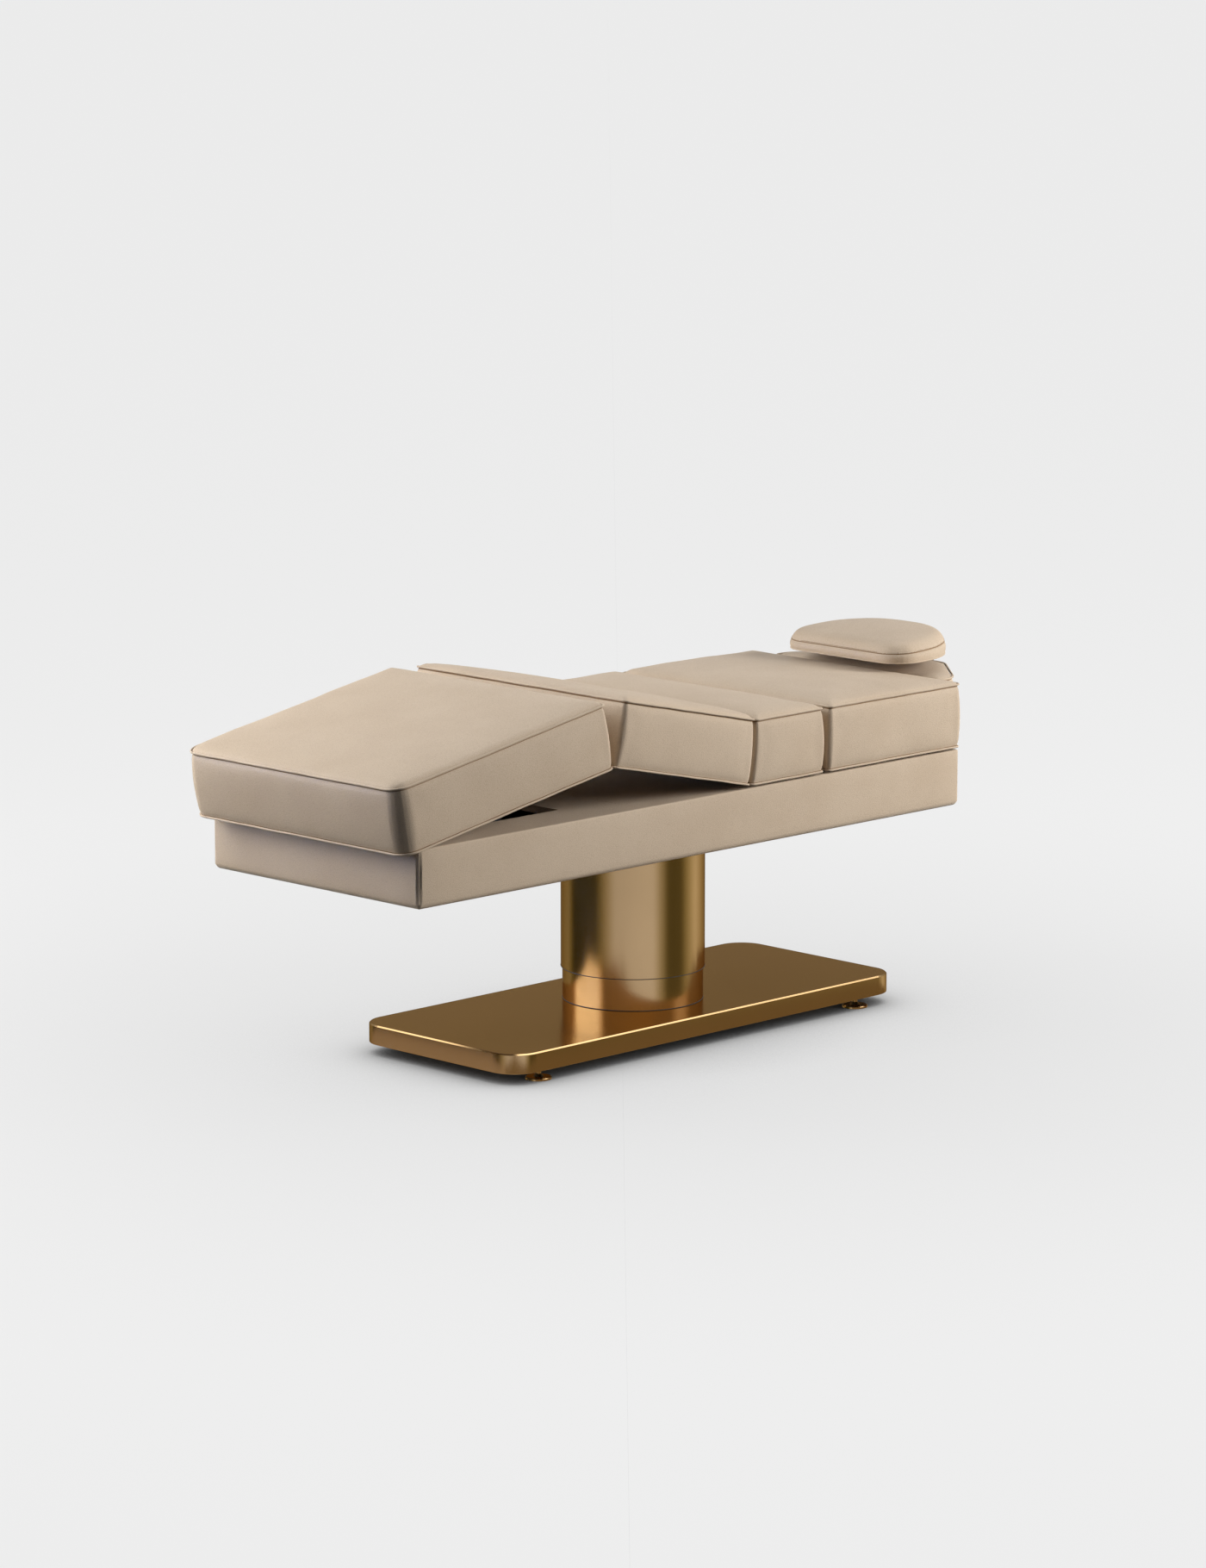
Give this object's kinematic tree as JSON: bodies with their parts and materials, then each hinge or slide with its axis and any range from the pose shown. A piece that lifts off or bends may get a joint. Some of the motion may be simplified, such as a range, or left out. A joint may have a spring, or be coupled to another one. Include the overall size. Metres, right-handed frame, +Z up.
{
  "type": "eyelash extension bed",
  "caption": "Upholstered treatment bed on a telescoping round column and a flat base plate, with jointed back, thigh, leg and head cushions and a half-moon head pillow.",
  "frame": {"origin": "centre of the bed's bounding box on the floor, under the levelling feet", "axes": "+X towards the head end, +Y across the bed to its left side seen from the foot, +Z up"},
  "size_m": [2.1348, 0.71, 0.8938],
  "materials": {
    "leather": "satin greige upholstery leather over foam",
    "leather_panel": "satin greige upholstery leather over board",
    "gold_metal": "brushed, warm bronze gold",
    "black_steel": "satin black powder coat",
    "zinc_steel": "zinc plated",
    "bright_rod": "ground and chromed",
    "plywood": "raw birch plywood",
    "nylon": "natural nylon",
    "black_plastic": "fine textured black"
  },
  "bodies": {
    "base": {"base_cover": "gold_metal", "base_frame": "black_steel", "column_mount_plate": "black_steel", "foot_lock_nuts": "zinc_steel", "lower_column_sleeve": "gold_metal", "lift_outer_tube": "black_steel", "lift_flange_bolts": "zinc_steel", "fixed_guide_pads": "nylon", "lift_drive_housing": "black_plastic"},
    "plinth": {"upper_column_sleeve": "gold_metal", "lift_inner_tube": "zinc_steel", "moving_guide_pads": "nylon", "lift_push_rod": "bright_rod", "lift_head_plate": "black_steel", "head_plate_bolts": "zinc_steel", "carriage_frame": "black_steel", "plinth_casing": "leather_panel", "foot_deck": "leather_panel", "head_deck": "leather_panel", "control_box": "black_plastic", "seat_posts": "nylon", "foot_rest_strip": "nylon", "seat_board": "plywood", "seat_cushion": "leather", "thigh_hinge_fixed_leaf": "zinc_steel", "thigh_hinge_pin": "bright_rod", "back_hinge_brackets": "black_steel", "back_hinge_pins": "bright_rod", "leg_shaft_bearings": "black_steel", "leg_drive_housing": "black_plastic", "back_drive_housing": "black_plastic"},
    "backrest": {"back_frame": "black_steel", "back_board": "plywood", "back_cushion": "leather", "back_crank_pin": "bright_rod", "head_hinge_pins": "bright_rod"},
    "back_rod": {"back_drive_rod": "bright_rod"},
    "thigh_section": {"thigh_cushion": "leather", "thigh_board": "plywood", "thigh_hinge_moving_leaf": "zinc_steel", "knee_hinge_thigh_leaf": "zinc_steel", "knee_hinge_pin": "bright_rod"},
    "leg_section": {"leg_cushion": "leather", "leg_board": "plywood", "leg_glide_strips": "nylon", "knee_hinge_leg_leaf": "zinc_steel"},
    "leg_shaft": {"leg_lift_shaft": "black_steel", "leg_lift_rollers": "nylon"},
    "leg_rod": {"leg_drive_rod": "bright_rod"},
    "head_section": {"head_frame": "black_steel", "head_board": "plywood", "head_cushion": "leather"},
    "pillow_carrier": {"pillow_rods": "bright_rod"},
    "pillow": {"pillow_lugs": "zinc_steel", "pillow_board": "plywood", "head_pillow": "leather"},
    "foot_1": {"levelling_foot_1": "gold_metal"},
    "foot_2": {"levelling_foot_2": "gold_metal"},
    "foot_3": {"levelling_foot_3": "gold_metal"},
    "foot_4": {"levelling_foot_4": "gold_metal"}
  },
  "joints": [
    {"name": "column_lift", "type": "slide", "parent": "base", "child": "plinth", "axis": [0, 0, 1], "range_m": [-0.065, 0.215]},
    {"name": "back_tilt", "type": "hinge", "parent": "plinth", "child": "backrest", "pos_m": [0.34239, 0, 0.778], "axis": [0, -1, 0], "range_deg": [0, 55]},
    {"name": "back_rod_travel", "type": "slide", "parent": "plinth", "child": "back_rod", "axis": [1, 0, 0], "range_m": [0, 0.19628]},
    {"name": "thigh_tilt", "type": "hinge", "parent": "plinth", "child": "thigh_section", "pos_m": [0.07739, 0, 0.638], "axis": [0, 1, 0], "range_deg": [-12.6, 0]},
    {"name": "knee_bend", "type": "hinge", "parent": "thigh_section", "child": "leg_section", "pos_m": [-0.38597, 0, 0.7416], "axis": [0, -1, 0], "range_deg": [-22.69, 0]},
    {"name": "leg_shaft_turn", "type": "hinge", "parent": "plinth", "child": "leg_shaft", "pos_m": [-0.64961, 0, 0.576], "axis": [0, -1, 0], "range_deg": [-34.63, 0]},
    {"name": "leg_rod_travel", "type": "slide", "parent": "plinth", "child": "leg_rod", "axis": [1, 0, 0], "range_m": [-0.03002, 0]},
    {"name": "head_section_tilt", "type": "hinge", "parent": "backrest", "child": "head_section", "pos_m": [0.84739, 0, 0.6725], "axis": [0, -1, 0], "range_deg": [-25, 0]},
    {"name": "pillow_reach", "type": "slide", "parent": "head_section", "child": "pillow_carrier", "axis": [1, 0, 0], "range_m": [0, 0.06]},
    {"name": "pillow_tilt", "type": "hinge", "parent": "pillow_carrier", "child": "pillow", "pos_m": [0.96139, 0, 0.811], "axis": [0, 1, 0], "range_deg": [-5, 7]},
    {"name": "foot_1_turn", "type": "hinge", "parent": "base", "child": "foot_1", "pos_m": [-0.51061, -0.231, 0], "axis": [0, 0, 1], "continuous": true},
    {"name": "foot_2_turn", "type": "hinge", "parent": "base", "child": "foot_2", "pos_m": [-0.51061, 0.231, 0], "axis": [0, 0, 1], "continuous": true},
    {"name": "foot_3_turn", "type": "hinge", "parent": "base", "child": "foot_3", "pos_m": [0.58339, -0.231, 0], "axis": [0, 0, 1], "continuous": true},
    {"name": "foot_4_turn", "type": "hinge", "parent": "base", "child": "foot_4", "pos_m": [0.58339, 0.231, 0], "axis": [0, 0, 1], "continuous": true}
  ],
  "couplings": [
    {"joint": "back_rod_travel", "follows": "back_tilt", "m_per_rad": 0.20395},
    {"joint": "knee_bend", "follows": "thigh_tilt", "ratio": 1.7961},
    {"joint": "leg_shaft_turn", "follows": "thigh_tilt", "ratio": 2.7439},
    {"joint": "leg_rod_travel", "follows": "thigh_tilt", "m_per_rad": 0.13512}
  ]
}
